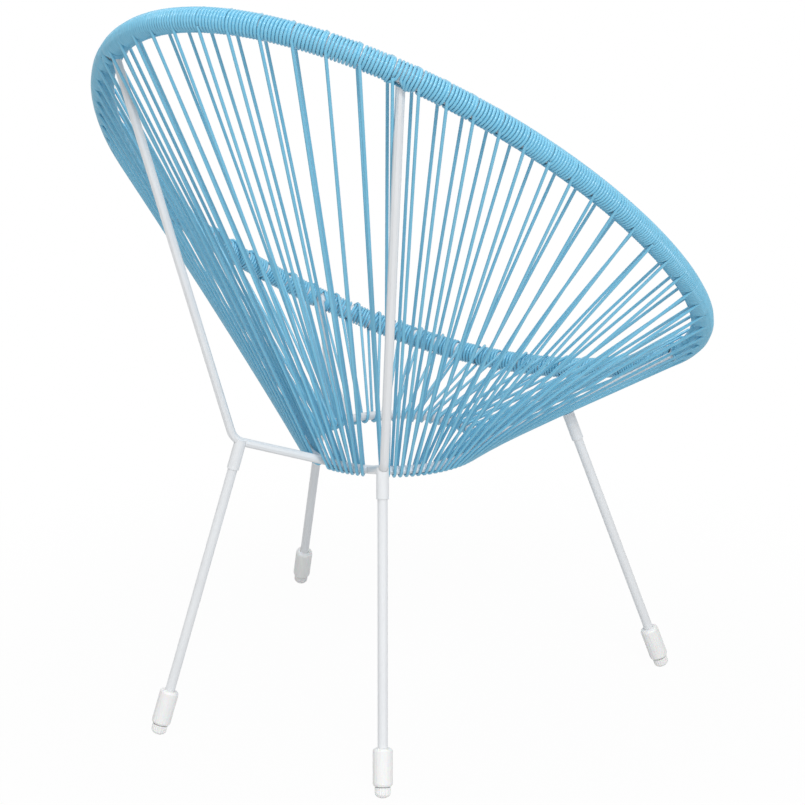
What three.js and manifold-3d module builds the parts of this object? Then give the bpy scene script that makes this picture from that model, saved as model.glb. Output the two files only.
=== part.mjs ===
// Acapulco chair: a cord-laced steel hoop on a four-legged rod frame with screw-in levelling feet.
// Millimetres, +Z up, the sitter faces -Y. Written from the plan centre of the seat ring at floor height,
// and moved at the end so that the origin lies under the middle of the whole chair.

import * as THREE from "three";
import { mergeVertices } from "three/addons/utils/BufferGeometryUtils.js";
import Module from "manifold-3d";

const wasm = await Module();
wasm.setup();

// Driving dimensions
// Gap left between pieces that are welded, wound or plugged together.
const fitGap = 0.3;

// Polyethylene cord.
const cordDiameter = 3.8;
const strandSides = 3;
// The two strands of one V leave the hoop this far apart, one above its middle and one below,
// and pass the seat ring inside and outside its middle.
const strandPairWidth = 8;
const strandAboveHoop = 7.6;
const strandBesideRing = 2.3;
// How far each strand of a pair stands off the middle of its V on the ring, as a share of the V's width.
const strandPairShare = 0.15;

// Bent hoop: an egg, wide at the shoulders and narrower at the knees, on a tilted plane.
const hoopTubeDiameter = 19;
const hoopHalfLength = 387.6;
const hoopHalfWidth = 357.5;
const hoopEgg = 55.4;
const hoopEggCorner = 14.1;
const hoopEggBlunt = 4.8;
const hoopShoulder = 16.4;
const hoopSquare = 10.2;
const hoopSag = -2.3;
const hoopRipple = 3.2;
const hoopFlutter = -2.5;
const hoopTilt = THREE.MathUtils.degToRad(39.4);
const hoopCentreForward = 36.6;
const hoopCentreHeight = 547.1;
const hoopSides = 10;
const windingSides = 8;
const windingGrooveDepth = 1.1;

// Seat ring, the small ring that every V loops round.
const seatRingRadius = 102.6;
const rodDiameter = 10;
const rodSides = 10;
const seatRingHeight = 303.1;
const seatRingSegments = 60;
const loopSides = 6;
const loopGrooveDepth = 0.8;
// The bore of the loops is straight from V to V, so it needs room for the curve of the ring.
const loopBoreEase = 0.6;

// Bent rods, one piece each: welded to the hoop, bent over the leg's socket, and on to the seat ring.
const rodBendRadius = 22;
const rodBendSteps = 8;
const rearWeldFromHoopTop = 200.5;
const rearBend = { across: 101.2, back: 179.2, height: 340.8 };
const rearArmAngle = THREE.MathUtils.degToRad(17.6);
const frontWeldFromHoopTop = 907.9;
const frontBend = { across: 169.4, back: -119, height: 338 };
const frontArmAngle = THREE.MathUtils.degToRad(115);
// The winding stops this far from the middle of each weld, before and after it,
// and the loops on the seat ring keep this far from the middle of each arm.
const rearWeldGap = { before: 6.5, after: 11.5 };
const frontWeldGap = { before: 9, after: 9 };
const rearArmClear = { before: 6, after: 10.7 };
const frontArmClear = { before: 9, after: 9 };

// Legs, from the floor point under each foot to the mouth of its socket, which hangs under its rod's bend.
const rearFoot = { across: 154.7, back: 276.8 };
const rearMouthFromBend = { across: -0.1, back: 3.9, height: -33.5 };
const frontFoot = { across: 271, back: -188.8 };
const frontMouthFromBend = { across: 11.4, back: -8.1, height: -38.5 };
const legDiameter = 11.2;
const legWall = 1.2;
const turnedSides = 18;
const socketDiameter = 14;
const socketLength = 35;
const socketDepth = 22;
const plugInClearance = 0.3;

// Foot cap, levelling knob and stud, measured along the leg from the floor.
const knobDiameter = 18;
const knobHeight = 12;
const knobShoulder = 6;
const knobRibs = 18;
const knobRibDepth = 0.7;
const knobPadDepth = 0.5;
const capGap = 0.6;
const capDiameter = 22;
const capLength = 42;
const capFloor = 12;
const capEdge = 3;
const studDiameter = 6;
const studBelow = 6;
const studAbove = 9.5;
const threadClearance = 0.1;

// Finishes
const finishes = {
  cord: { color: "#7db3c9", roughness: 0.42, metalness: 0 },
  frame: { color: "#e3e5e8", roughness: 0.38, metalness: 0.1 },
  foot: { color: "#ecedef", roughness: 0.45, metalness: 0 },
  steel: { color: "#b9bcc0", roughness: 0.3, metalness: 0.9 },
};

// Helpers
const cordRadius = cordDiameter / 2;
const rodRadius = rodDiameter / 2;
const hoopTubeRadius = hoopTubeDiameter / 2;

function bare(geometry) {
  const plain = geometry.index ? geometry.toNonIndexed() : geometry.clone();
  for (const name of Object.keys(plain.attributes)) {
    if (name !== "position") plain.deleteAttribute(name);
  }
  return mergeVertices(plain, 1e-4);
}

function toSolid(geometry) {
  const plain = bare(geometry);
  const mesh = new wasm.Mesh({
    numProp: 3,
    vertProperties: new Float32Array(plain.attributes.position.array),
    triVerts: new Uint32Array(plain.index.array),
  });
  return new wasm.Manifold(mesh);
}

function toGeometry(solid) {
  const mesh = solid.getMesh();
  const geometry = new THREE.BufferGeometry();
  geometry.setAttribute("position", new THREE.BufferAttribute(mesh.vertProperties, mesh.numProp));
  geometry.setIndex(new THREE.BufferAttribute(mesh.triVerts, 1));
  return geometry;
}

// Joins rings of points into a closed skin. A loop runs back into its first ring;
// otherwise both ends are closed by a fan.
function skin(rings, isLoop) {
  const sides = rings[0].length;
  const positions = [];
  for (const ring of rings) for (const point of ring) positions.push(point.x, point.y, point.z);
  const index = [];
  const bands = isLoop ? rings.length : rings.length - 1;
  for (let band = 0; band < bands; band += 1) {
    const here = band * sides;
    const next = ((band + 1) % rings.length) * sides;
    for (let side = 0; side < sides; side += 1) {
      const across = (side + 1) % sides;
      index.push(here + side, here + across, next + side);
      index.push(next + side, here + across, next + across);
    }
  }
  if (!isLoop) {
    const last = (rings.length - 1) * sides;
    for (let side = 1; side < sides - 1; side += 1) {
      index.push(0, side + 1, side);
      index.push(last, last + side, last + side + 1);
    }
  }
  const geometry = new THREE.BufferGeometry();
  geometry.setAttribute("position", new THREE.Float32BufferAttribute(positions, 3));
  geometry.setIndex(index);
  return geometry;
}

// A ring of points round a centre, in the plane of two unit directions, with a flat side facing the first.
function ringOfPoints(centre, first, second, radius, sides) {
  const points = [];
  for (let side = 0; side < sides; side += 1) {
    const angle = ((side + 0.5) / sides) * Math.PI * 2;
    points.push(
      centre.clone()
        .addScaledVector(first, Math.cos(angle) * radius)
        .addScaledVector(second, Math.sin(angle) * radius),
    );
  }
  return points;
}

// Straight bar with flat ends.
function bar(from, to, radius, sides) {
  const along = to.clone().sub(from).normalize();
  const aside = new THREE.Vector3(0, 0, 1).cross(along).normalize();
  const over = along.clone().cross(aside);
  return skin([
    ringOfPoints(from, aside, over, radius, sides),
    ringOfPoints(to, aside, over, radius, sides),
  ], false);
}

// Turned piece: a closed profile of [radius, height] pairs about +Z.
function turned(profile) {
  const outline = [...profile, profile[0]].map(([radius, height]) => new THREE.Vector2(radius, height));
  return new THREE.LatheGeometry(outline, turnedSides).rotateX(Math.PI / 2);
}

function mirrored(geometry) {
  const copy = bare(geometry);
  copy.scale(-1, 1, 1);
  const index = copy.index.array;
  for (let corner = 0; corner < index.length; corner += 3) {
    [index[corner], index[corner + 1]] = [index[corner + 1], index[corner]];
  }
  return copy;
}

// Lays a piece made about +Z along the line from one point to another.
function laidAlong(geometry, from, to) {
  const along = to.clone().sub(from).normalize();
  const turn = new THREE.Quaternion().setFromUnitVectors(new THREE.Vector3(0, 0, 1), along);
  return geometry.clone().applyQuaternion(turn).translate(from.x, from.y, from.z);
}

const chair = new THREE.Group();
chair.name = "acapulco_chair";

function addMesh(name, geometry, finish) {
  const mesh = new THREE.Mesh(bare(geometry), new THREE.MeshStandardMaterial(finishes[finish]));
  mesh.name = name;
  chair.add(mesh);
}

// Left piece as given, right piece as its mirror image.
function addPair(name, geometry, finish) {
  addMesh(`${name}_left`, geometry, finish);
  addMesh(`${name}_right`, mirrored(geometry), finish);
}

// Hoop
class HoopCurve extends THREE.Curve {
  getPoint(share, target = new THREE.Vector3()) {
    const turn = share * Math.PI * 2;
    const along = hoopHalfLength * Math.cos(turn)
      + hoopEgg * Math.cos(2 * turn)
      + hoopEggCorner * Math.cos(3 * turn)
      + hoopEggBlunt * Math.cos(4 * turn);
    const across = hoopHalfWidth * Math.sin(turn)
      + hoopShoulder * Math.sin(2 * turn)
      + hoopSquare * Math.sin(3 * turn);
    const lift = hoopSag * Math.cos(2 * turn)
      + hoopRipple * Math.cos(3 * turn)
      + hoopFlutter * Math.cos(4 * turn);
    return target.set(
      across,
      along * Math.cos(hoopTilt) - lift * Math.sin(hoopTilt) - hoopCentreForward,
      along * Math.sin(hoopTilt) + lift * Math.cos(hoopTilt) + hoopCentreHeight,
    );
  }
}

const hoopCurve = new HoopCurve();
hoopCurve.arcLengthDivisions = 1440;
const hoopLength = hoopCurve.getLength();

// Centre and cross-section directions of the hoop, a distance round from its top.
// The inward direction looks at the seat ring.
function hoopStation(distance) {
  const share = distance / hoopLength;
  const centre = hoopCurve.getPointAt(share - Math.floor(share));
  const along = hoopCurve.getTangentAt(share - Math.floor(share));
  const target = centre.clone().setZ(0).setLength(seatRingRadius).setZ(seatRingHeight);
  const inward = target.sub(centre);
  inward.addScaledVector(along, -inward.dot(along)).normalize();
  return { centre, along, inward, over: along.clone().cross(inward) };
}

// Stretches of winding on the left half, with the number of Vs in each. The welds lie between stretches.
const sectorNames = ["back", "shoulder", "high_side", "low_side", "knee", "front"];
const sectorVs = [4, 3, 3, 3, 3, 5];
const frontWeldPlace = sectorNames.indexOf("front");
const sideLength = (frontWeldFromHoopTop - rearWeldFromHoopTop) / (frontWeldPlace - 1);
const sectorEdges = sectorNames.map((name, place) => (
  place === 0 ? 0 : rearWeldFromHoopTop + (place - 1) * sideLength
));
sectorEdges.push(hoopLength / 2);
const weldGaps = { 1: rearWeldGap, [frontWeldPlace]: frontWeldGap };
const evenGap = { before: fitGap / 2, after: fitGap / 2 };
const sectors = sectorNames.map((name, place) => ({
  name,
  vs: sectorVs[place],
  firstV: sectorVs.slice(0, place).reduce((sum, count) => sum + count, 0),
  from: sectorEdges[place] + (weldGaps[place] ?? evenGap).after,
  to: sectorEdges[place + 1] - (weldGaps[place + 1] ?? evenGap).before,
}));

// The tube and the winding share these stations, so the gap between them stays even.
function sectorStations(sector) {
  const steps = 2 * sector.vs;
  return Array.from({ length: steps + 1 }, (_, step) => (
    sector.from + (sector.to - sector.from) * (step / steps)
  ));
}

function hoopTube(radius) {
  const left = sectors.flatMap((sector) => sectorStations(sector).filter((_, step) => step % 2 === 0));
  const right = left.map((distance) => hoopLength - distance).reverse();
  const rings = [...left, ...right].map((distance) => {
    const { centre, inward, over } = hoopStation(distance);
    return ringOfPoints(centre, inward, over, radius, hoopSides);
  });
  return skin(rings, true);
}

// Seat ring
function seatRing(radius) {
  const torus = new THREE.TorusGeometry(seatRingRadius, radius, rodSides, seatRingSegments);
  return torus.translate(0, 0, seatRingHeight);
}

// Angles run from the back of the ring towards the left side and on to the front.
function ringPoint(angle) {
  const across = seatRingRadius * Math.sin(angle);
  return new THREE.Vector3(across, seatRingRadius * Math.cos(angle), seatRingHeight);
}

const stretchEnds = [
  [0, rearArmAngle - rearArmClear.before / seatRingRadius],
  [rearArmAngle + rearArmClear.after / seatRingRadius, frontArmAngle - frontArmClear.before / seatRingRadius],
  [frontArmAngle + frontArmClear.after / seatRingRadius, Math.PI],
];

// Vs on each stretch of the ring: those before the front weld share the first two by length.
const vCount = sectorVs.reduce((sum, count) => sum + count, 0);
const stretchLengths = stretchEnds.map(([from, to]) => to - from);
const vsBeforeFront = sectors[frontWeldPlace].firstV;
const backShare = stretchLengths[0] / (stretchLengths[0] + stretchLengths[1]);
const vsBehind = Math.round(vsBeforeFront * backShare);
const stretchVs = [vsBehind, vsBeforeFront - vsBehind, vCount - vsBeforeFront];

// Middle angle, width and stretch of every V on the left half of the ring, with its place on the hoop.
const hoopPlaces = sectors.flatMap((sector) => Array.from({ length: sector.vs }, (_, place) => (
  sector.from + (sector.to - sector.from) * ((place + 0.5) / sector.vs)
)));
const ringPlaces = stretchEnds.flatMap(([from], stretch) => {
  const width = stretchLengths[stretch] / stretchVs[stretch];
  return Array.from({ length: stretchVs[stretch] }, (_, place) => (
    { stretch, width, angle: from + (place + 0.5) * width }
  ));
});
const ringVs = ringPlaces.map((place, v) => ({ ...place, hoopDistance: hoopPlaces[v] }));

// Lacing
const windingBoreRadius = (hoopTubeRadius + fitGap) / Math.cos(Math.PI / windingSides);
const windingRadius = hoopTubeRadius + fitGap + cordDiameter;
const loopBoreRadius = (rodRadius + fitGap + loopBoreEase) / Math.cos(Math.PI / loopSides);
const loopRadius = rodRadius + fitGap + cordDiameter;

// Hollow sleeve: outer rings of changing radius, and a bore.
function sleeve(outerRings, boreRings) {
  return toSolid(skin(outerRings, false)).subtract(toSolid(skin(boreRings, false)));
}

// Cord wound on the hoop: one swelling between each two Vs, and a groove where a V leaves.
function hoopWinding(sector) {
  const distances = sectorStations(sector);
  const stations = distances.map(hoopStation);
  const outer = stations.map(({ centre, inward, over }, step) => {
    const radius = windingRadius - (step % 2) * windingGrooveDepth;
    return ringOfPoints(centre, inward, over, radius, windingSides);
  });
  const boreStations = stations.filter((_, step) => step % 2 === 0);
  const bore = boreStations.map(({ centre, along, inward, over }, step) => {
    const beyond = step === 0 ? -fitGap : (step === boreStations.length - 1 ? fitGap : 0);
    const middle = centre.clone().addScaledVector(along, beyond);
    return ringOfPoints(middle, inward, over, windingBoreRadius, windingSides);
  });
  return sleeve(outer, bore);
}

// Cross-section directions of the seat ring at an angle. The first one looks at a V's place on the hoop.
function ringStation(angle, v) {
  const centre = ringPoint(angle);
  const along = new THREE.Vector3(Math.cos(angle), -Math.sin(angle), 0);
  const upward = hoopStation(v.hoopDistance).centre.sub(centre);
  upward.addScaledVector(along, -upward.dot(along)).normalize();
  return { centre, along, upward, over: along.clone().cross(upward) };
}

// Loops round the seat ring, for neighbouring Vs on one stretch: a swelling for each V.
function ringLoops(vs) {
  const trim = fitGap / 2 / seatRingRadius;
  const last = vs[vs.length - 1];
  const stations = vs.flatMap((v, place) => [
    ringStation(v.angle - v.width / 2 + (place === 0 ? trim : 0), v),
    ringStation(v.angle, v),
  ]);
  stations.push(ringStation(last.angle + last.width / 2 - trim, last));
  const outer = stations.map(({ centre, upward, over }, step) => {
    const radius = loopRadius - ((step + 1) % 2) * loopGrooveDepth;
    return ringOfPoints(centre, upward, over, radius, loopSides);
  });
  const edges = stations.filter((_, step) => step % 2 === 0);
  const bore = edges.map(({ centre, along, upward, over }, place) => {
    const beyond = place === 0 ? -fitGap : (place === vs.length ? fitGap : 0);
    return ringOfPoints(centre.addScaledVector(along, beyond), upward, over, loopBoreRadius, loopSides);
  });
  return sleeve(outer, bore);
}

// Point inside the wound cord, off the middle by some offset, on the side that a strand leaves from.
function strandEnd(station, run, offset, bareRadius) {
  const lift = station.along.clone().cross(run);
  const slant = lift.length();
  const inWall = bareRadius + fitGap + cordRadius;
  const outwards = Math.sqrt(inWall * inWall - offset * offset) / slant;
  return station.centre.clone().addScaledVector(lift.normalize(), offset).addScaledVector(run, outwards);
}

// One strand of a V from the hoop to the seat ring, on one side of both.
function strand(v, side) {
  const top = hoopStation(v.hoopDistance - (side * strandPairWidth) / 2);
  const foot = ringStation(v.angle - side * v.width * strandPairShare, v);
  const run = foot.centre.clone().sub(top.centre).normalize();
  const from = strandEnd(top, run, side * strandAboveHoop, hoopTubeRadius);
  const to = strandEnd(foot, run.clone().negate(), -side * strandBesideRing, rodRadius);
  return toSolid(bar(from, to, cordRadius, strandSides));
}

function lacing(sector) {
  const vs = ringVs.slice(sector.firstV, sector.firstV + sector.vs);
  let solid = hoopWinding(sector);
  const stretches = [...new Set(vs.map((v) => v.stretch))];
  for (const stretch of stretches) solid = solid.add(ringLoops(vs.filter((v) => v.stretch === stretch)));
  for (const v of vs) solid = solid.add(strand(v, 1)).add(strand(v, -1));
  return toGeometry(solid);
}

// Frame rods
function placed(point) {
  return new THREE.Vector3(point.across, point.back, point.height);
}

// Centre line of a bent rod: straight from the hoop, an arc, and straight to the seat ring.
function rodPoints(top, bend, end) {
  const toTop = top.clone().sub(bend).normalize();
  const toEnd = end.clone().sub(bend).normalize();
  const halfAngle = toTop.angleTo(toEnd) / 2;
  const tangent = rodBendRadius / Math.tan(halfAngle);
  const middleway = toTop.clone().add(toEnd).normalize();
  const centre = bend.clone().addScaledVector(middleway, rodBendRadius / Math.sin(halfAngle));
  const first = bend.clone().addScaledVector(toTop, tangent).sub(centre);
  const last = bend.clone().addScaledVector(toEnd, tangent).sub(centre);
  const axis = first.clone().cross(last).normalize();
  const sweep = Math.PI - 2 * halfAngle;
  const arc = Array.from({ length: rodBendSteps + 1 }, (_, step) => (
    first.clone().applyAxisAngle(axis, (sweep * step) / rodBendSteps).add(centre)
  ));
  return [top, ...arc, end];
}

// A path whose stations are a list of points, so that only the bend is finely divided.
class RodPath extends THREE.Curve {
  constructor(points) {
    super();
    this.points = points;
    this.spans = points.length - 1;
  }

  getPointAt(share, target = new THREE.Vector3()) {
    return target.copy(this.points[Math.round(share * this.spans)]);
  }

  getTangentAt(share, target = new THREE.Vector3()) {
    const place = Math.round(share * this.spans);
    const before = this.points[Math.max(place - 1, 0)];
    const after = this.points[Math.min(place + 1, this.spans)];
    return target.subVectors(after, before).normalize();
  }
}

function sweptRod(points, radius) {
  const section = new THREE.Shape();
  section.absarc(0, 0, radius, 0, Math.PI * 2, false);
  return new THREE.ExtrudeGeometry(section, {
    steps: points.length - 1,
    curveSegments: rodSides / 2,
    bevelEnabled: false,
    extrudePath: new RodPath(points),
  });
}

const rodLines = {
  rear: rodPoints(hoopStation(rearWeldFromHoopTop).centre, placed(rearBend), ringPoint(rearArmAngle)),
  front: rodPoints(hoopStation(frontWeldFromHoopTop).centre, placed(frontBend), ringPoint(frontArmAngle)),
};

// Both ends are shaped to the round of what they are welded to.
function bentRod(place) {
  const hoopSpace = toSolid(hoopTube(hoopTubeRadius + fitGap));
  const ringSpace = toSolid(seatRing(rodRadius + fitGap));
  return toGeometry(toSolid(sweptRod(rodLines[place], rodRadius)).subtract(hoopSpace).subtract(ringSpace));
}

// Legs, sockets and feet
function legLine(foot, bend, mouthFromBend) {
  return {
    floor: new THREE.Vector3(foot.across, foot.back, 0),
    mouth: placed(bend).add(placed(mouthFromBend)),
  };
}

// Socket tube, closed above, and shaped to the underside of the rod that it is welded to.
function socket(line, rodSpace) {
  const reach = line.floor.distanceTo(line.mouth);
  const outer = socketDiameter / 2;
  const bore = legDiameter / 2 + plugInClearance;
  const body = turned([
    [0, reach + socketDepth],
    [bore, reach + socketDepth],
    [bore, reach],
    [outer, reach],
    [outer, reach + socketLength],
    [0, reach + socketLength],
  ]);
  return toGeometry(toSolid(laidAlong(body, line.floor, line.mouth)).subtract(rodSpace));
}

function leg(line) {
  const start = knobHeight + capGap + capFloor + fitGap;
  const end = line.floor.distanceTo(line.mouth) + socketDepth - fitGap;
  const outer = legDiameter / 2;
  const tube = turned([
    [outer - legWall, start],
    [outer, start],
    [outer, end],
    [outer - legWall, end],
  ]);
  return laidAlong(tube, line.floor, line.mouth);
}

function footCap(line) {
  const base = knobHeight + capGap;
  const outer = capDiameter / 2;
  const bore = legDiameter / 2 + plugInClearance;
  const thread = studDiameter / 2 + threadClearance;
  const body = turned([
    [thread, base],
    [outer - capEdge, base],
    [outer - capEdge / 3, base + capEdge / 3],
    [outer, base + capEdge],
    [outer, base + capLength - capEdge],
    [outer - capEdge / 3, base + capLength - capEdge / 3],
    [outer - capEdge, base + capLength],
    [bore, base + capLength],
    [bore, base + capFloor],
    [thread, base + capFloor],
  ]);
  return laidAlong(body, line.floor, line.mouth);
}

// Ribbed knob with a domed end, flat where it stands.
function knob(line) {
  const outer = knobDiameter / 2;
  const outline = new THREE.Shape();
  for (let corner = 0; corner < 2 * knobRibs; corner += 1) {
    const angle = (corner / (2 * knobRibs)) * Math.PI * 2;
    const radius = outer - (corner % 2) * knobRibDepth;
    const point = [Math.cos(angle) * radius, Math.sin(angle) * radius];
    if (corner === 0) outline.moveTo(...point);
    else outline.lineTo(...point);
  }
  const ribbed = new THREE.ExtrudeGeometry(outline, { depth: knobHeight, bevelEnabled: false, steps: 1 });
  const dome = [];
  const domeSteps = 5;
  for (let step = 0; step <= domeSteps; step += 1) {
    const angle = (step / domeSteps) * (Math.PI / 2);
    dome.push([outer * Math.sin(angle), knobShoulder * (1 - Math.cos(angle))]);
  }
  const thread = studDiameter / 2 + threadClearance;
  const hole = [[thread, knobHeight], [thread, studBelow], [0, studBelow]];
  const blank = turned([...dome, [outer, knobHeight], ...hole]);
  const shaped = toSolid(ribbed).intersect(toSolid(blank));
  return toSolid(laidAlong(toGeometry(shaped), line.floor, line.mouth));
}

function stud(line) {
  const rod = turned([
    [0, studBelow + fitGap],
    [studDiameter / 2, studBelow + fitGap],
    [studDiameter / 2, knobHeight + studAbove],
    [0, knobHeight + studAbove],
  ]);
  return laidAlong(rod, line.floor, line.mouth);
}

// Takes everything below the floor off a solid.
function standing(solid, floorHeight) {
  const side = 4 * capDiameter;
  const box = solid.boundingBox();
  const slab = new THREE.BoxGeometry(side, side, side);
  slab.translate((box.min[0] + box.max[0]) / 2, (box.min[1] + box.max[1]) / 2, floorHeight - side / 2);
  return solid.subtract(toSolid(slab));
}

function addLeg(place, line, floorHeight) {
  const rodSpace = toSolid(sweptRod(rodLines[place], rodRadius + fitGap));
  addPair(`socket_${place}`, socket(line, rodSpace), "frame");
  addPair(`leg_${place}`, leg(line), "frame");
  addPair(`foot_cap_${place}`, footCap(line), "foot");
  addPair(`leveller_knob_${place}`, toGeometry(standing(knob(line), floorHeight)), "foot");
  addPair(`leveller_stud_${place}`, stud(line), "steel");
}

// Assembly
addMesh("hoop", hoopTube(hoopTubeRadius), "frame");
addMesh("seat_ring", seatRing(rodRadius), "frame");
addPair("rear_rod", bentRod("rear"), "frame");
addPair("front_rod", bentRod("front"), "frame");
const rearLine = legLine(rearFoot, rearBend, rearMouthFromBend);
const frontLine = legLine(frontFoot, frontBend, frontMouthFromBend);
const lowestPoints = [rearLine, frontLine].map((line) => knob(line).boundingBox().min[2]);
const floorHeight = Math.max(...lowestPoints) + knobPadDepth;
addLeg("rear", rearLine, floorHeight);
addLeg("front", frontLine, floorHeight);
for (const sector of sectors) addPair(`lacing_${sector.name}`, lacing(sector), "cord");

const box = new THREE.Box3().setFromObject(chair);
const middle = box.getCenter(new THREE.Vector3());
for (const mesh of chair.children) mesh.geometry.translate(-middle.x, -middle.y, -box.min.z);

export default chair;
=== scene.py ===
"""Looks of the Acapulco chair: round polyethylene cord laced on a white powder-coated steel frame.

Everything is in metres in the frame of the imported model. The sitter faces -Y and +Z is up.
"""

import math
import random

import bmesh
import bpy
from mathutils import Matrix, Vector


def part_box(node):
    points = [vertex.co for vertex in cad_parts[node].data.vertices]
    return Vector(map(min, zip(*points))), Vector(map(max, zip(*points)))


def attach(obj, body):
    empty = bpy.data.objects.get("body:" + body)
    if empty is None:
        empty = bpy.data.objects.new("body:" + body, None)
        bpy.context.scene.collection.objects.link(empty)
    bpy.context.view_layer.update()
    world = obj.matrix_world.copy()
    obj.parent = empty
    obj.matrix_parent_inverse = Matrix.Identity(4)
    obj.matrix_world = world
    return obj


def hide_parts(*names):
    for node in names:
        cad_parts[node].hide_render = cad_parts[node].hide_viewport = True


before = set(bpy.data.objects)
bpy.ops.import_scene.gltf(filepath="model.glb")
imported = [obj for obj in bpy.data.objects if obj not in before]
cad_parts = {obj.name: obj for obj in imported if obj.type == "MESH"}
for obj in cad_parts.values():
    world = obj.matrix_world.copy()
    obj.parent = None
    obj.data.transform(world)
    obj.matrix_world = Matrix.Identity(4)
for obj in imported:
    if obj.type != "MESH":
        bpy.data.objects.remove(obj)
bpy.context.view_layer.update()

MM = 0.001

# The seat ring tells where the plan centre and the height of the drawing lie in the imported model.
ring_low, ring_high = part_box("seat_ring")
RING_CENTRE = (Vector(ring_low) + Vector(ring_high)) / 2
SEAT_RING_HEIGHT = 303.1 * MM
ORIGIN = RING_CENTRE - Vector((0, 0, SEAT_RING_HEIGHT))

# Bent hoop, as in the source of the part: a tilted oval with a blunt egg end, fuller shoulders and
# a tube that rises and sags a little along the way. The top of the back is distance 0.
HOOP_TUBE_RADIUS = 9.5 * MM
HOOP_HALF_LENGTH = 387.6 * MM
HOOP_HALF_WIDTH = 357.5 * MM
HOOP_EGG = 55.4 * MM
HOOP_EGG_CORNER = 14.1 * MM
HOOP_EGG_BLUNT = 4.8 * MM
HOOP_SHOULDER = 16.4 * MM
HOOP_SQUARE = 10.2 * MM
HOOP_SAG = -2.3 * MM
HOOP_RIPPLE = 3.2 * MM
HOOP_FLUTTER = -2.5 * MM
HOOP_TILT = math.radians(39.4)
HOOP_CENTRE_FORWARD = 36.6 * MM
HOOP_CENTRE_HEIGHT = 547.1 * MM
HOOP_SAMPLES = 2880

# Seat ring and bent rods. Each rod runs from a weld on the hoop over its bend to an arm on the ring.
RING_RADIUS = 102.6 * MM
ROD_RADIUS = 5 * MM
REAR_WELD = 200.5 * MM
REAR_BEND = Vector((101.2, 179.2, 340.8)) * MM
REAR_ARM_ANGLE = math.radians(17.6)
REAR_ARM_CLEAR = (6 * MM, 9 * MM)
FRONT_WELD = 907.9 * MM
FRONT_BEND = Vector((169.4, -119, 338)) * MM
FRONT_ARM_ANGLE = math.radians(115)
FRONT_ARM_CLEAR = (7 * MM, 7 * MM)

# Cord, and how fine its mesh is.
CORD_RADIUS = 1.82 * MM
CORD_AIR = 0.1 * MM
CORD_SIDES = 8
STEPS_PER_TURN = 14
STEPS_PER_LOOP = 7

# Vs of cord on the left half of the chair. The right half is their mirror image.
VS_BEHIND_REAR_WELD = 6
VS_ALONG_SIDE = 21
VS_PAST_FRONT_WELD = 9
TURNS_PER_V = 8.8
# How far the nearest V keeps from each weld, before it and after it.
REAR_WELD_CLEAR = (12 * MM, 16 * MM)
FRONT_WELD_CLEAR = (16 * MM, 16 * MM)
# The Vs past the rear weld stand closer to it than an even spread would put them,
# over this share of the side.
SIDE_LEAD = 13 * MM
SIDE_LEAD_REACH = 0.65
# Names of the stretches of lacing between the welds, from the rear one on.
SIDE_SECTORS = ["shoulder", "high_side", "low_side", "knee"]

# A V's two strands stand apart on the hoop. The returning one crosses back over the first turns,
# on the hoop's face inside the seat, in the first part of half a turn.
STRAND_PARTING = 9.5 * MM
CROSSED_BY = 2 / 7
# On the side towards the ring the turns close up towards the V, so only a narrow cut stays open.
CUT_CLOSING = 1.3 * MM
# The loops under the ring are a little uneven: the least and the most of their even width.
LOOP_UNEVENNESS = (0.85, 1.15)
JITTER_SEED = 7

# How the turns part round the end of a rod and pile up beside it. The wrap and the sharpness say
# how far round the hoop from the rod this is felt.
WELD_HALF_WIDTH = 7.6 * MM
WELD_SPREAD = 15 * MM
WELD_PILE = 2.4 * MM
WELD_WRAP = 1.35
WELD_SHARPNESS = 1.5

# Camera of the photograph. The place is from the plan centre of the seat ring, on the floor.
CAMERA_PLACE = Vector((-1290.6, 2049.5, 1127.1)) * MM
CAMERA_AZIMUTH = math.radians(31.91)
CAMERA_ELEVATION = math.radians(17.76)
CAMERA_ROLL = math.radians(-0.76)
CAMERA_LENS = 96.31
CAMERA_SENSOR = 36

# Softboxes: name, place, what it looks at, size and watts.
SOFTBOXES = [
    ("key_softbox", (-2.2, 2.0, 3.0), (0, 0, 0.4), (1.0, 0.8), 62),
    ("top_softbox", (0.3, 0.2, 3.4), (0, 0, 0.4), (1.6, 1.6), 28),
    ("fill_softbox", (1.9, 2.6, 1.2), (0, 0, 0.4), (1.2, 1.2), 9),
    ("front_softbox", (-2.6, 2.2, 0.7), (0, 0, 0.45), (1.2, 0.9), 15),
]
WORLD_LIGHT = 0.42
FLOOR_HALF_SIZE = 12
# How much plain white the camera sees in the floor, under the chair and away from it, and the
# distances from its middle over which that changes. The rest is the floor's own shade and shadow.
FLOOR_WHITE = (0.97, 1.0)
FLOOR_FADE = (0.3, 0.9)
WHITE = (1, 1, 1, 1)
# The colour sockets of a mix node, which have the same names as its other ones.
MIX_FIRST, MIX_SECOND, MIX_RESULT = 6, 7, 2


# Materials

def linear(hex_colour):
    """Linear red, green, blue and alpha of an sRGB colour such as #80b0c0."""
    values = [int(hex_colour[place:place + 2], 16) / 255 for place in (1, 3, 5)]
    return [v / 12.92 if v <= 0.04045 else ((v + 0.055) / 1.055) ** 2.4 for v in values] + [1.0]


def add_node(tree, kind, settings=None, links=None):
    """A new shader node.

    Settings name its attributes or input sockets; links give an input its source socket.
    """
    node = tree.nodes.new(kind)
    for name, value in (settings or {}).items():
        if name in node.inputs and not hasattr(node, name):
            node.inputs[name].default_value = value
        else:
            setattr(node, name, value)
    for name, source in (links or {}).items():
        tree.links.new(source, node.inputs[name])
    return node


def new_material(name, settings):
    """A material with one principled shader, and the tree and shader to build on."""
    material = bpy.data.materials.new(name)
    material.use_nodes = True
    tree = material.node_tree
    shader = tree.nodes["Principled BSDF"]
    for socket, value in settings.items():
        shader.inputs[socket].default_value = value
    return material, tree, shader


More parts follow.
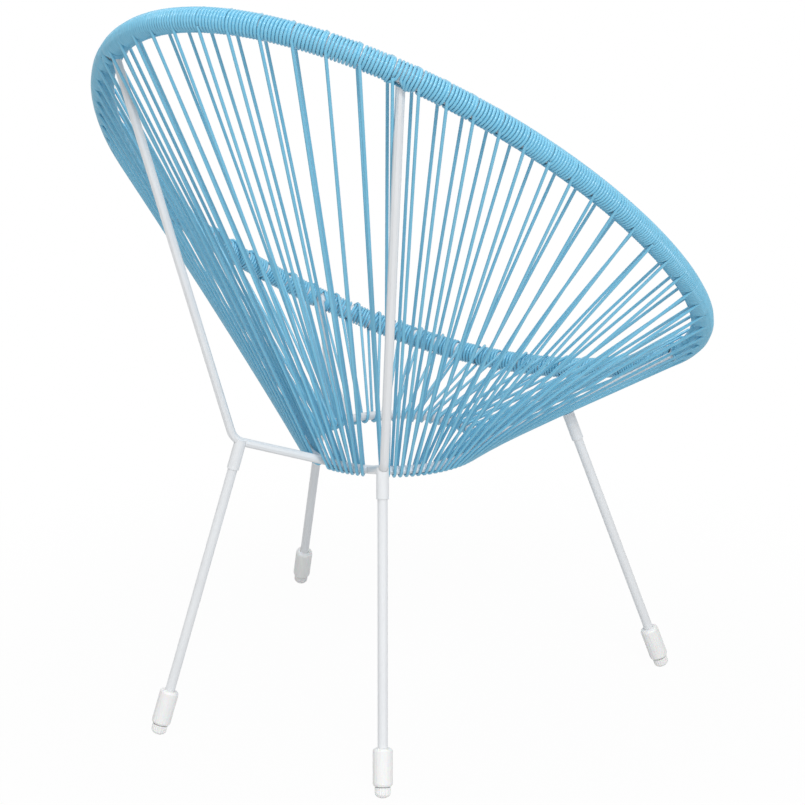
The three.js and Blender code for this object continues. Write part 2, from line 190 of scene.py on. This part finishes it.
def colour_between(tree, shader, factor, first, second):
    """Base colour that drifts between two colours."""
    mix = add_node(tree, "ShaderNodeMix", {"data_type": "RGBA"})
    mix.inputs[MIX_FIRST].default_value = linear(first)
    mix.inputs[MIX_SECOND].default_value = linear(second)
    tree.links.new(factor, mix.inputs["Factor"])
    tree.links.new(mix.outputs[MIX_RESULT], shader.inputs["Base Color"])


def add_bump(tree, shader, height, distance, strength):
    """Fine relief."""
    settings = {"Distance": distance, "Strength": strength}
    bump = add_node(tree, "ShaderNodeBump", settings, {"Height": height})
    tree.links.new(bump.outputs["Normal"], shader.inputs["Normal"])


def add_noise(tree, place, scale, detail):
    """Noise from 0 to 1 over a place."""
    settings = {"Scale": scale, "Detail": detail}
    return add_node(tree, "ShaderNodeTexNoise", settings, {"Vector": place}).outputs["Fac"]


def add_stretch(tree, place, scale):
    """A place multiplied by a scale for each axis."""
    return add_node(tree, "ShaderNodeMapping", {"Scale": scale}, {"Vector": place}).outputs["Vector"]


def object_place(tree):
    """The place on the object, in metres."""
    return add_node(tree, "ShaderNodeTexCoord").outputs["Object"]


def polyethylene_cord():
    """Extruded round cord: a soft sheen, faint draw lines and a slight drift of the light blue."""
    material, tree, shader = new_material("extruded_polyethylene_cord", {
        "Roughness": 0.24,
        "IOR": 1.5,
        "Specular IOR Level": 0.5,
    })
    uv = add_node(tree, "ShaderNodeUVMap", {"uv_map": "cord"}).outputs["UV"]
    drift = add_noise(tree, add_stretch(tree, uv, (0.4, 9.0, 1.0)), 1.0, 2.0)
    colour_between(tree, shader, drift, "#6abadb", "#88cce8")
    draw_lines = add_noise(tree, add_stretch(tree, uv, (16.0, 30.0, 1.0)), 1.0, 3.0)
    add_bump(tree, shader, draw_lines, 0.05 * MM, 0.5)
    return material


def powder_coated_steel():
    """White powder coat on steel: satin, with a fine orange-peel relief about 1.5 mm across."""
    material, tree, shader = new_material("white_powder_coated_steel", {
        "Roughness": 0.36,
        "IOR": 1.5,
        "Coat Weight": 0.15,
        "Coat Roughness": 0.25,
    })
    place = object_place(tree)
    colour_between(tree, shader, add_noise(tree, place, 14.0, 2.0), "#e2e4e7", "#eaecee")
    add_bump(tree, shader, add_noise(tree, place, 650.0, 2.0), 0.02 * MM, 0.1)
    return material


def moulded_nylon():
    """White injection-moulded foot: a little warmer and duller than the frame, with a faint grain."""
    material, tree, shader = new_material("white_moulded_nylon", {
        "Roughness": 0.48,
        "IOR": 1.53,
        "Subsurface Weight": 0.08,
        "Subsurface Scale": 3 * MM,
    })
    place = object_place(tree)
    colour_between(tree, shader, add_noise(tree, place, 40.0, 2.0), "#f0f0f0", "#f6f6f5")
    add_bump(tree, shader, add_noise(tree, place, 1400.0, 3.0), 0.015 * MM, 0.12)
    return material


def zinc_plated_steel():
    """Bright zinc on the levelling studs, with fine turning marks."""
    material, tree, shader = new_material("zinc_plated_steel", {"Metallic": 1.0, "Roughness": 0.32})
    settings = {"Scale": 300.0, "Distortion": 0.5, "bands_direction": "Z"}
    marks = add_node(tree, "ShaderNodeTexWave", settings, {"Vector": object_place(tree)})
    colour_between(tree, shader, marks.outputs["Fac"], "#b4b7ba", "#c9cbcd")
    return material


CORD = polyethylene_cord()
FRAME = powder_coated_steel()
FOOT = moulded_nylon()
ZINC = zinc_plated_steel()


# Hoop and ring places

def hoop_point(turn):
    """Middle of the hoop's tube, by the angle that draws it."""
    along = (HOOP_HALF_LENGTH * math.cos(turn) + HOOP_EGG * math.cos(2 * turn)
             + HOOP_EGG_CORNER * math.cos(3 * turn) + HOOP_EGG_BLUNT * math.cos(4 * turn))
    across = (HOOP_HALF_WIDTH * math.sin(turn) + HOOP_SHOULDER * math.sin(2 * turn)
              + HOOP_SQUARE * math.sin(3 * turn))
    lift = (HOOP_SAG * math.cos(2 * turn) + HOOP_RIPPLE * math.cos(3 * turn)
            + HOOP_FLUTTER * math.cos(4 * turn))
    back = along * math.cos(HOOP_TILT) - lift * math.sin(HOOP_TILT) - HOOP_CENTRE_FORWARD
    height = along * math.sin(HOOP_TILT) + lift * math.cos(HOOP_TILT) + HOOP_CENTRE_HEIGHT
    return ORIGIN + Vector((across, back, height))


HOOP_POINTS = [hoop_point(2 * math.pi * step / HOOP_SAMPLES) for step in range(HOOP_SAMPLES + 1)]
HOOP_DISTANCES = [0.0]
for before, after in zip(HOOP_POINTS, HOOP_POINTS[1:]):
    HOOP_DISTANCES.append(HOOP_DISTANCES[-1] + (after - before).length)
HOOP_LENGTH = HOOP_DISTANCES[-1]


def hoop_turn(distance):
    """Angle of the place a distance round the hoop from its top."""
    distance %= HOOP_LENGTH
    low, high = 0, HOOP_SAMPLES
    while high - low > 1:
        middle = (low + high) // 2
        if HOOP_DISTANCES[middle] <= distance:
            low = middle
        else:
            high = middle
    share = (distance - HOOP_DISTANCES[low]) / (HOOP_DISTANCES[high] - HOOP_DISTANCES[low])
    return 2 * math.pi * (low + share) / HOOP_SAMPLES


class Station:
    """A place on the hoop or the ring, with the ways along it, inward and to its outer side.

    Inward is towards what the cord runs to from there, square to the way along.
    """

    def __init__(self, centre, along, towards):
        self.centre = centre
        self.along = along.normalized()
        inward = towards - centre
        self.inward = (inward - self.along * inward.dot(self.along)).normalized()
        self.outer = self.along.cross(self.inward)

    def point(self, angle, radius, shift=0.0):
        """A point off the middle: angle 0 looks inward, and a quarter turn on to the outer side."""
        aside = self.inward * math.cos(angle) + self.outer * math.sin(angle)
        return self.centre + aside * radius + self.along * shift

    def angle_of(self, direction):
        """The angle, seen along the tube, of a direction."""
        return math.atan2(direction.dot(self.outer), direction.dot(self.inward))


def hoop_station(distance):
    """A place on the hoop, a distance round it. Inward there is towards the nearest place on the ring."""
    turn = hoop_turn(distance)
    step = 2 * math.pi / HOOP_SAMPLES
    centre = hoop_point(turn)
    plan = Vector((centre.x - RING_CENTRE.x, centre.y - RING_CENTRE.y, 0)).normalized()
    along = hoop_point(turn + step) - hoop_point(turn - step)
    return Station(centre, along, RING_CENTRE + plan * RING_RADIUS)


def ring_station(angle, towards):
    """A place on the ring. Its angle runs from the back to the sitter's left, and on round."""
    centre = RING_CENTRE + Vector((math.sin(angle), math.cos(angle), 0)) * RING_RADIUS
    return Station(centre, Vector((math.cos(angle), -math.sin(angle), 0)), towards)


# Lacing

VS_PER_HALF = VS_BEHIND_REAR_WELD + VS_ALONG_SIDE + VS_PAST_FRONT_WELD
TURN_PITCH = HOOP_LENGTH / 2 / VS_PER_HALF / TURNS_PER_V
WINDING_RADIUS = HOOP_TUBE_RADIUS + CORD_RADIUS + CORD_AIR
LOOP_RADIUS = ROD_RADIUS + CORD_RADIUS + CORD_AIR
QUARTER = math.pi / 2


class V:
    """One V of cord: where it leaves the hoop and where it rounds the ring."""

    def __init__(self, distance, angle, width, sector):
        self.distance = distance
        self.angle = angle
        self.width = width
        self.sector = sector
        self.hoop = hoop_station(distance)
        self.ring = ring_station(angle, self.hoop.centre)
        run = self.ring.centre - self.hoop.centre
        self.hoop_angle = self.hoop.angle_of(run)
        self.ring_angle = self.ring.angle_of(-run)


def spread_evenly(start, end, count):
    """Places from start to end, both included."""
    return [start + (end - start) * step / (count - 1) for step in range(count)]


def v_distances():
    """Places of the Vs round the left half of the hoop.

    The first and the last V stand half a step from the mirror plane.
    """
    behind_end = REAR_WELD - REAR_WELD_CLEAR[0]
    behind_step = behind_end / (VS_BEHIND_REAR_WELD - 0.5)
    front_start = FRONT_WELD + FRONT_WELD_CLEAR[1]
    front_step = (HOOP_LENGTH / 2 - front_start) / (VS_PAST_FRONT_WELD - 0.5)
    places = spread_evenly(behind_step / 2, behind_end, VS_BEHIND_REAR_WELD)
    side_start, side_end = REAR_WELD + REAR_WELD_CLEAR[1], FRONT_WELD - FRONT_WELD_CLEAR[0]
    side = spread_evenly(side_start, side_end, VS_ALONG_SIDE)
    for place, distance in enumerate(side):
        share = min(1.0, place / (VS_ALONG_SIDE - 1) / SIDE_LEAD_REACH)
        places.append(distance - SIDE_LEAD * math.sin(math.pi * share))
    return places + spread_evenly(front_start, HOOP_LENGTH / 2 - front_step / 2, VS_PAST_FRONT_WELD)


def v_angles():
    """Places and widths of the Vs round the left half of the ring, which stays bare at the arms."""
    behind = (0.0, REAR_ARM_ANGLE - REAR_ARM_CLEAR[0] / RING_RADIUS)
    side_start = REAR_ARM_ANGLE + REAR_ARM_CLEAR[1] / RING_RADIUS
    side = (side_start, FRONT_ARM_ANGLE - FRONT_ARM_CLEAR[0] / RING_RADIUS)
    front = (FRONT_ARM_ANGLE + FRONT_ARM_CLEAR[1] / RING_RADIUS, math.pi)
    before_front = VS_PER_HALF - VS_PAST_FRONT_WELD
    behind_share = behind[1] / (behind[1] + side[1] - side[0])
    behind_count = round(before_front * behind_share)
    places = []
    counts = (behind_count, before_front - behind_count, VS_PAST_FRONT_WELD)
    for (start, end), count in zip((behind, side, front), counts):
        width = (end - start) / count
        places += [(start + (step + 0.5) * width, width) for step in range(count)]
    return places


def sector_of(distance):
    """Name of the stretch of lacing that a place on the left half of the hoop belongs to."""
    if distance < REAR_WELD:
        return "back"
    if distance > FRONT_WELD:
        return "front"
    share = (distance - REAR_WELD) / (FRONT_WELD - REAR_WELD)
    return SIDE_SECTORS[int(share * len(SIDE_SECTORS))]


def all_vs():
    """Every V round the hoop, in order from the top: the left half, then its mirror image."""
    left, right = [], []
    for distance, (angle, width) in zip(v_distances(), v_angles()):
        sector = sector_of(distance)
        left.append(V(distance, angle, width, f"{sector}_left"))
        right.insert(0, V(HOOP_LENGTH - distance, 2 * math.pi - angle, width, f"{sector}_right"))
    return left + right


def welds():
    """Place of each weld round the hoop, and the angle at which its rod leaves the hoop there."""
    found = []
    for side in (1, -1):
        for place, bend in ((REAR_WELD, REAR_BEND), (FRONT_WELD, FRONT_BEND)):
            station = hoop_station(place * side)
            bend_here = ORIGIN + Vector((bend.x * side, bend.y, bend.z))
            found.append(((place * side) % HOOP_LENGTH, station.angle_of(bend_here - station.centre)))
    return found


WELDS = welds()


def wound_point(distance, angle, lift=0.0, shift=0.0):
    """A point of the cord wound on the hoop, lifted off it or shifted along it.

    Near a weld the turns part and pile up beside the rod.
    """
    station = hoop_station(distance)
    radius = WINDING_RADIUS + lift
    for place, rod_angle in WELDS:
        off = distance % HOOP_LENGTH - place
        facing = math.cos(angle - rod_angle)
        if abs(off) > WELD_SPREAD or facing < 0:
            continue
        weight = min(1.0, facing * WELD_WRAP) ** WELD_SHARPNESS
        fade = 1 - (abs(off) / WELD_SPREAD) ** 2
        spread = math.sqrt(off * off + (WELD_HALF_WIDTH * weight) ** 2) - abs(off)
        shift += math.copysign(spread * fade, off)
        radius += WELD_PILE * weight * fade * min(1.0, abs(off) / WELD_HALF_WIDTH)
    return station.point(angle, radius, shift)


def straight(start, end):
    """Both ends of a taut strand, with a point near each so that the bend into it is tight."""
    near = 0.01
    return [start, start.lerp(end, near), start.lerp(end, 1 - near), end]


def leaving_point(v):
    """Where a V's first strand leaves the hoop."""
    return wound_point(v.distance - STRAND_PARTING / 2, v.hoop_angle + QUARTER)


def arriving_point(v):
    """Where a V's second strand meets the hoop, on top of the turns there."""
    return wound_point(v.distance + STRAND_PARTING / 2, v.hoop_angle - QUARTER, 2 * CORD_RADIUS)


def cord_run(v, following, jitter):
    """Points of the cord over one V: down a strand, under the ring, up again and round the hoop."""
    half_width = v.width / 4 * jitter.uniform(*LOOP_UNEVENNESS)
    first_angle = v.ring_angle - QUARTER
    under = []
    for step in range(STEPS_PER_LOOP + 1):
        share = step / STEPS_PER_LOOP
        station = ring_station(v.angle + half_width * (2 * share - 1), v.hoop.centre)
        under.append(station.point(first_angle - math.pi * share, LOOP_RADIUS))
    points = straight(leaving_point(v), under[0]) + under[1:-1]
    points += straight(under[-1], arriving_point(v)) + winding(v, following)
    if following.sector != v.sector:
        points.append(leaving_point(following))
    return points


def crossing(v, start):
    """The first half turn: the cord crosses back from where it arrives to where the turns start."""
    arrival = v.distance + STRAND_PARTING / 2
    half_turn = STEPS_PER_TURN // 2
    points = []
    for step in range(1, half_turn):
        share = step / half_turn
        crossed = min(1.0, share / CROSSED_BY)
        place = arrival + (start - arrival) * crossed
        lift = 2 * CORD_RADIUS * (1 - crossed ** 2)
        points.append(wound_point(place, v.hoop_angle - QUARTER - math.pi * share, lift))
    return points


def winding(v, following):
    """Turns of cord on the hoop from where one V's second strand arrives to where the next V leaves."""
    start = v.distance - STRAND_PARTING / 2 + TURN_PITCH
    end = start - TURN_PITCH + (following.distance - v.distance) % HOOP_LENGTH
    turns = round((end - start) / TURN_PITCH)
    sweep = following.hoop_angle - v.hoop_angle - 2 * math.pi * turns
    steps = turns * STEPS_PER_TURN
    points = crossing(v, start)
    for step in range(steps):
        share = step / steps
        facing = max(0.0, math.cos(sweep * share + QUARTER))
        place = start + (end - start) * share
        shift = CUT_CLOSING * facing ** 2 * (2 * share - 1)
        points.append(wound_point(place, v.hoop_angle + QUARTER + sweep * share, 0.0, shift))
    return points


def cross_sections(shape, points, radius, sides):
    """A ring of vertices round each point, square to the way through it, none twisted on the last."""
    rings = []
    normal = None
    for place, point in enumerate(points):
        before = points[max(place - 1, 0)]
        after = points[min(place + 1, len(points) - 1)]
        along = (after - before).normalized()
        if normal is None:
            normal = along.orthogonal()
        normal = (normal - along * normal.dot(along)).normalized()
        aside = along.cross(normal)
        ring = []
        for side in range(sides):
            angle = 2 * math.pi * side / sides
            out = normal * math.cos(angle) + aside * math.sin(angle)
            ring.append(shape.verts.new(point + out * radius))
        rings.append(ring)
    return rings


def tube_mesh(name, points, radius, sides):
    """Round tube through points, with a uv map in turns round it and metres along it."""
    mesh = bpy.data.meshes.new(name)
    shape = bmesh.new()
    uv = shape.loops.layers.uv.new("cord")
    rings = cross_sections(shape, points, radius, sides)
    lengths = [0.0]
    for before, after in zip(points, points[1:]):
        lengths.append(lengths[-1] + (after - before).length)
    for place in range(len(rings) - 1):
        this, following = rings[place], rings[place + 1]
        for side in range(sides):
            other = (side + 1) % sides
            face = shape.faces.new([this[side], this[other], following[other], following[side]])
            face.smooth = True
            corners = [(side, place), (side + 1, place), (side + 1, place + 1), (side, place + 1)]
            for loop, (turn, step) in zip(face.loops, corners):
                loop[uv].uv = (turn / sides, lengths[step])
    shape.faces.new(list(reversed(rings[0])))
    shape.faces.new(rings[-1])
    shape.to_mesh(mesh)
    shape.free()
    return mesh


def add_piece(name, mesh, material, body):
    """A new object of the chair, riding on a CAD body."""
    piece = bpy.data.objects.new(name, mesh)
    bpy.context.scene.collection.objects.link(piece)
    mesh.materials.append(material)
    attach(piece, body)
    return piece


def lace():
    """The cord, one piece for each stretch of lacing in the CAD."""
    jitter = random.Random(JITTER_SEED)
    vs = all_vs()
    runs = {}
    for place, v in enumerate(vs):
        following = vs[(place + 1) % len(vs)]
        runs.setdefault(v.sector, []).extend(cord_run(v, following, jitter))
    for sector, points in runs.items():
        mesh = tube_mesh(f"cord_{sector}", points, CORD_RADIUS, CORD_SIDES)
        piece = add_piece(f"cord_{sector}", mesh, CORD, "chair_frame")
        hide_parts(f"lacing_{sector}")


lace()


# Finishes of the pieces that stay as the CAD has them

CREASE = math.radians(50)


def dress_cad():
    """Gives each shown CAD node its finish, shaded smooth across its facets but crisp at its edges."""
    for name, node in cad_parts.items():
        if name.startswith("lacing"):
            continue
        finish = FRAME
        if "foot_cap" in name or "knob" in name:
            finish = FOOT
        elif "stud" in name:
            finish = ZINC
        node.data.materials.clear()
        node.data.materials.append(finish)
        node.data.shade_smooth()
        node.data.set_sharp_from_angle(angle=CREASE)


dress_cad()


# Stage

def look_matrix(place, direction, roll):
    """Camera matrix from its place, the way it looks and its roll about that way."""
    direction = direction.normalized()
    right = direction.cross(Vector((0, 0, 1))).normalized()
    up = right.cross(direction)
    turned_right = right * math.cos(roll) + up * math.sin(roll)
    turned_up = up * math.cos(roll) - right * math.sin(roll)
    matrix = Matrix((turned_right, turned_up, -direction)).transposed().to_4x4()
    matrix.translation = place
    return matrix


def add_camera():
    """Camera that frames the chair as the photograph does."""
    direction = Vector((
        math.sin(CAMERA_AZIMUTH) * math.cos(CAMERA_ELEVATION),
        -math.cos(CAMERA_AZIMUTH) * math.cos(CAMERA_ELEVATION),
        -math.sin(CAMERA_ELEVATION),
    ))
    data = bpy.data.cameras.new("camera")
    data.sensor_width = CAMERA_SENSOR
    data.lens = CAMERA_LENS
    camera = bpy.data.objects.new("camera", data)
    camera.matrix_world = look_matrix(ORIGIN + CAMERA_PLACE, direction, CAMERA_ROLL)
    bpy.context.scene.collection.objects.link(camera)
    bpy.context.scene.camera = camera


def add_softbox(name, place, target, size, watts):
    """A rectangular soft lamp that looks at a target."""
    data = bpy.data.lights.new(name, "AREA")
    data.shape = "RECTANGLE"
    data.size, data.size_y = size
    data.energy = watts
    light = bpy.data.objects.new(name, data)
    place, target = Vector(place), Vector(target)
    light.location = place
    light.rotation_euler = (target - place).to_track_quat("-Z", "Y").to_euler()
    bpy.context.scene.collection.objects.link(light)


def white_when_seen(tree):
    """1 for rays that should meet plain white: from the camera, mirrored or through a clear piece."""
    path = add_node(tree, "ShaderNodeLightPath")
    mirrored = add_node(tree, "ShaderNodeMath", {"operation": "MAXIMUM"})
    tree.links.new(path.outputs["Is Camera Ray"], mirrored.inputs[0])
    tree.links.new(path.outputs["Is Glossy Ray"], mirrored.inputs[1])
    seen = add_node(tree, "ShaderNodeMath", {"operation": "MAXIMUM"})
    tree.links.new(mirrored.outputs[0], seen.inputs[0])
    tree.links.new(path.outputs["Is Transmission Ray"], seen.inputs[1])
    return seen.outputs[0]


def add_floor():
    """Pale floor that keeps a soft shadow under the chair and fades to plain white away from it."""
    shape = bmesh.new()
    bmesh.ops.create_grid(shape, x_segments=1, y_segments=1, size=FLOOR_HALF_SIZE)
    mesh = bpy.data.meshes.new("floor")
    shape.to_mesh(mesh)
    shape.free()
    floor = bpy.data.objects.new("floor", mesh)
    bpy.context.scene.collection.objects.link(floor)
    material, tree, shader = new_material("floor_paper", {
        "Base Color": linear("#d0d0d0"),
        "Roughness": 0.9,
        "Specular IOR Level": 0.1,
    })
    place = add_node(tree, "ShaderNodeTexCoord")
    away = add_node(tree, "ShaderNodeVectorMath", {"operation": "LENGTH"})
    tree.links.new(place.outputs["Object"], away.inputs[0])
    fade = add_node(tree, "ShaderNodeMapRange", {
        "interpolation_type": "SMOOTHSTEP",
        "From Min": FLOOR_FADE[0], "From Max": FLOOR_FADE[1],
        "To Min": FLOOR_WHITE[0], "To Max": FLOOR_WHITE[1],
    }, {"Value": away.outputs["Value"]})
    amount = add_node(tree, "ShaderNodeMath", {"operation": "MULTIPLY"})
    tree.links.new(fade.outputs[0], amount.inputs[0])
    tree.links.new(white_when_seen(tree), amount.inputs[1])
    white = add_node(tree, "ShaderNodeEmission", {"Color": WHITE, "Strength": 1.0})
    mix = add_node(tree, "ShaderNodeMixShader")
    tree.links.new(amount.outputs[0], mix.inputs[0])
    tree.links.new(shader.outputs[0], mix.inputs[1])
    tree.links.new(white.outputs[0], mix.inputs[2])
    tree.links.new(mix.outputs[0], tree.nodes["Material Output"].inputs["Surface"])
    mesh.materials.append(material)


def add_world():
    """White for the camera, and a softer even light for everything else."""
    world = bpy.data.worlds.new("studio")
    bpy.context.scene.world = world
    world.use_nodes = True
    tree = world.node_tree
    tree.nodes.clear()
    soft = add_node(tree, "ShaderNodeBackground", {"Color": WHITE, "Strength": WORLD_LIGHT})
    white = add_node(tree, "ShaderNodeBackground", {"Color": WHITE, "Strength": 1.0})
    mix = add_node(tree, "ShaderNodeMixShader")
    tree.links.new(white_when_seen(tree), mix.inputs[0])
    tree.links.new(soft.outputs[0], mix.inputs[1])
    tree.links.new(white.outputs[0], mix.inputs[2])
    output = add_node(tree, "ShaderNodeOutputWorld")
    tree.links.new(mix.outputs[0], output.inputs["Surface"])


add_camera()
for softbox in SOFTBOXES:
    add_softbox(*softbox)
add_floor()
add_world()
bpy.context.scene.view_settings.view_transform = "Standard"
